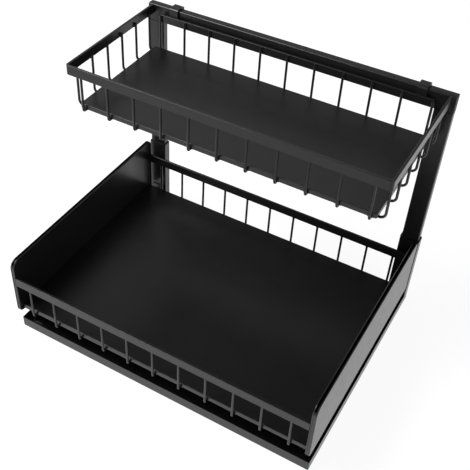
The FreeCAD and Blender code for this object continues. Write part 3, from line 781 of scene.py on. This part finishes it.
def paint_floor_light_pool(tree, place, settings, surface):
    """Paints a pool of light on the floor: adds white where the camera, a reflection or glass shows the
    floor, most round the organizer, so the organizer also mirrors this painted light.
    """
    rays = new_node(tree, "ShaderNodeLightPath", -900, -500)
    seen = new_node(tree, "ShaderNodeMath", -650, -500, operation="MAXIMUM")
    shown = new_node(tree, "ShaderNodeMath", -450, -500, operation="MAXIMUM")
    glow = new_node(tree, "ShaderNodeMath", -250, -500, operation="MULTIPLY")
    reach = new_node(tree, "ShaderNodeVectorMath", -650, -750, operation="DISTANCE")
    reach.inputs[1].default_value = settings.painted_pool_centre
    # Painted pool of light: the glow falls from the pool's strength near its centre to the rest of the
    # floor's further out
    pool = new_node(tree, "ShaderNodeMapRange", -450, -750, interpolation_type="SMOOTHSTEP")
    pool.inputs["From Min"].default_value = settings.painted_pool_radius
    pool.inputs["From Max"].default_value = settings.painted_pool_radius + settings.painted_pool_fade
    pool.inputs["To Min"].default_value = settings.painted_pool_light
    pool.inputs["To Max"].default_value = settings.floor_glow
    tree.links.new(place.outputs["Object"], reach.inputs[0])
    tree.links.new(reach.outputs["Value"], pool.inputs["Value"])
    tree.links.new(pool.outputs["Result"], glow.inputs[1])
    tree.links.new(rays.outputs["Is Camera Ray"], seen.inputs[0])
    tree.links.new(rays.outputs["Is Glossy Ray"], seen.inputs[1])
    tree.links.new(seen.outputs["Value"], shown.inputs[0])
    tree.links.new(rays.outputs["Is Transmission Ray"], shown.inputs[1])
    tree.links.new(shown.outputs["Value"], glow.inputs[0])
    surface.inputs["Emission Color"].default_value = WHITE
    tree.links.new(glow.outputs["Value"], surface.inputs["Emission Strength"])


def lay_floor(settings):
    """Pale floor that takes the organizer's shadow, with a painted pool of light round the organizer."""
    deselect_all()
    bpy.ops.mesh.primitive_circle_add(
        vertices=FLOOR_SIDES, radius=settings.floor_radius, fill_type="NGON")
    floor = bpy.context.object
    floor.name = "studio_floor"
    material, surface, place = start_material("studio_floor")
    tree = material.node_tree
    texture = place_grain(tree, place, FLOOR_SCALES)
    mix_colours(tree, texture.outputs["Drift"], settings.floor_colour, settings.floor_tint, surface)
    surface.inputs["Roughness"].default_value = 1.0
    surface.inputs["Specular IOR Level"].default_value = 0.0
    # Painted pool of light on the floor, which the organizer's surfaces also reflect
    paint_floor_light_pool(tree, place, settings, surface)
    floor.data.materials.append(material)


def light_room(settings):
    """Studio with pale walls and a dimmer ceiling."""
    world = bpy.data.worlds.new("studio_room")
    bpy.context.scene.world = world
    world.use_nodes = True
    tree = world.node_tree
    background = tree.nodes["Background"]
    background.inputs["Color"].default_value = WHITE
    direction = new_node(tree, "ShaderNodeTexCoord", -900, 0)
    parts = new_node(tree, "ShaderNodeSeparateXYZ", -650, 0)
    level = new_node(tree, "ShaderNodeMapRange", -400, 0, interpolation_type="SMOOTHSTEP")
    level.inputs["From Min"].default_value = settings.wall_top
    level.inputs["From Max"].default_value = settings.ceiling_edge
    level.inputs["To Min"].default_value = settings.wall_light
    level.inputs["To Max"].default_value = settings.ceiling_light
    tree.links.new(direction.outputs["Generated"], parts.inputs["Vector"])
    tree.links.new(parts.outputs["Z"], level.inputs["Value"])
    tree.links.new(level.outputs["Result"], background.inputs["Strength"])


def hang_lamp(name, place, aim, size, power):
    """Soft lamp that faces a point."""
    lamp = bpy.data.lights.new(name, "AREA")
    lamp.shape = "RECTANGLE"
    lamp.size, lamp.size_y = size
    lamp.energy = power
    hung = bpy.data.objects.new(name, lamp)
    hung.location = place
    hung.rotation_mode = "QUATERNION"
    hung.rotation_quaternion = (aim - Vector(place)).to_track_quat("-Z", "Y")
    hung.visible_camera = False
    bpy.context.collection.objects.link(hung)


def place_camera(settings):
    """Camera at the viewing angle of the photograph."""
    camera = bpy.data.cameras.new("studio_camera")
    camera.sensor_width = SENSOR_WIDTH
    camera.lens = settings.lens
    camera.shift_x = settings.shift_x
    camera.shift_y = settings.shift_y
    stand = bpy.data.objects.new("studio_camera", camera)
    place = Vector(settings.camera_place)
    look = (Vector(settings.camera_aim) - place).to_track_quat("-Z", "Y")
    stand.rotation_mode = "QUATERNION"
    stand.rotation_quaternion = look @ Quaternion((0, 0, 1), settings.camera_roll)
    stand.location = place
    bpy.context.collection.objects.link(stand)
    bpy.context.scene.camera = stand


# Operators


class ORGANIZER_OT_base(bpy.types.Operator):
    """Finish the base, its feet and screws, the posts and the beam"""

    bl_idname = "organizer.base"
    bl_label = "Base and rear frame"

    def execute(self, context):
        finish_nodes([n for n in nodes_of("base") if "slide" not in n], context)
        return {"FINISHED"}


class ORGANIZER_OT_slides(bpy.types.Operator):
    """Finish the drawer slides with their cages, balls and bumpers"""

    bl_idname = "organizer.slides"
    bl_label = "Drawer slides"

    def execute(self, context):
        finish_nodes([n for n in nodes_of("base") if "slide" in n], context)
        finish_nodes(nodes_of("ball_cages"), context)
        finish_nodes([n for n in nodes_of("tray") if "slide" in n], context)
        return {"FINISHED"}


class ORGANIZER_OT_tray(bpy.types.Operator):
    """Finish the pull-out tray"""

    bl_idname = "organizer.tray"
    bl_label = "Pull-out tray"

    def execute(self, context):
        finish_nodes([n for n in nodes_of("tray") if "slide" not in n], context)
        return {"FINISHED"}


class ORGANIZER_OT_basket(bpy.types.Operator):
    """Finish the hanging basket"""

    bl_idname = "organizer.basket"
    bl_label = "Hanging basket"

    def execute(self, context):
        finish_nodes(nodes_of("basket"), context)
        return {"FINISHED"}


class ORGANIZER_OT_tray_welds(bpy.types.Operator):
    """Model the weld beads of the tray's wires and rails"""

    bl_idname = "organizer.tray_welds"
    bl_label = "Tray welds"

    def execute(self, context):
        settings = context.scene.organizer_welds
        tray_wire_welds(settings, context)
        tray_foot_welds(settings, context)
        rail_welds(settings, context)
        return {"FINISHED"}


class ORGANIZER_OT_basket_welds(bpy.types.Operator):
    """Model the weld beads of the basket's wires and hooks"""

    bl_idname = "organizer.basket_welds"
    bl_label = "Basket welds"

    def execute(self, context):
        settings = context.scene.organizer_welds
        basket_wire_welds(settings, context)
        basket_foot_welds(settings, context)
        hook_welds(settings, context)
        return {"FINISHED"}


class ORGANIZER_OT_stage(bpy.types.Operator):
    """Set up the floor, the light and the camera"""

    bl_idname = "organizer.stage"
    bl_label = "Stage"

    def execute(self, context):
        settings = context.scene.organizer_stage
        lay_floor(settings)
        light_room(settings)
        middle = Vector(settings.lamp_aim)
        ahead = Vector(settings.back_place) - AXES["Y"]
        hang_lamp("key_lamp", settings.key_place, middle, settings.key_size, settings.key_power)
        hang_lamp("back_lamp", settings.back_place, ahead, settings.back_size, settings.back_power)
        hang_lamp("fill_lamp", settings.fill_place, middle, settings.fill_size, settings.fill_power)
        place_camera(settings)
        context.scene.view_settings.view_transform = "Standard"
        return {"FINISHED"}


# Panel and registration


class ORGANIZER_PT_panel(bpy.types.Panel):
    """Lists the organizer's operators"""

    bl_idname = "ORGANIZER_PT_panel"
    bl_label = "Under sink organizer"
    bl_space_type = "VIEW_3D"
    bl_region_type = "UI"
    bl_category = "Organizer"

    def draw(self, context):
        for operator in OPERATORS:
            self.layout.operator(operator.bl_idname)
        for key in GROUPS:
            box = self.layout.box()
            settings = getattr(context.scene, key)
            for name in settings.__annotations__:
                box.prop(settings, name)


OPERATORS = (
    ORGANIZER_OT_base,
    ORGANIZER_OT_slides,
    ORGANIZER_OT_tray,
    ORGANIZER_OT_basket,
    ORGANIZER_OT_tray_welds,
    ORGANIZER_OT_basket_welds,
    ORGANIZER_OT_stage,
)
GROUPS = {
    "organizer_coat": CoatSettings,
    "organizer_hardware": HardwareSettings,
    "organizer_welds": WeldSettings,
    "organizer_stage": StageSettings,
}


def register():
    """Registers the settings, the operators and the panel."""
    for key, group in GROUPS.items():
        bpy.utils.register_class(group)
        setattr(bpy.types.Scene, key, PointerProperty(type=group))
    for item in OPERATORS + (ORGANIZER_PT_panel,):
        bpy.utils.register_class(item)


def unregister():
    """Takes everything back."""
    for item in reversed(OPERATORS + (ORGANIZER_PT_panel,)):
        bpy.utils.unregister_class(item)
    for key, group in GROUPS.items():
        delattr(bpy.types.Scene, key)
        bpy.utils.unregister_class(group)


def main():
    """Builds the looks in order."""
    register()
    bpy.ops.organizer.base()
    bpy.ops.organizer.slides()
    bpy.ops.organizer.tray()
    bpy.ops.organizer.basket()
    bpy.ops.organizer.tray_welds()
    bpy.ops.organizer.basket_welds()
    bpy.ops.organizer.stage()


if __name__ == "__main__":
    main()
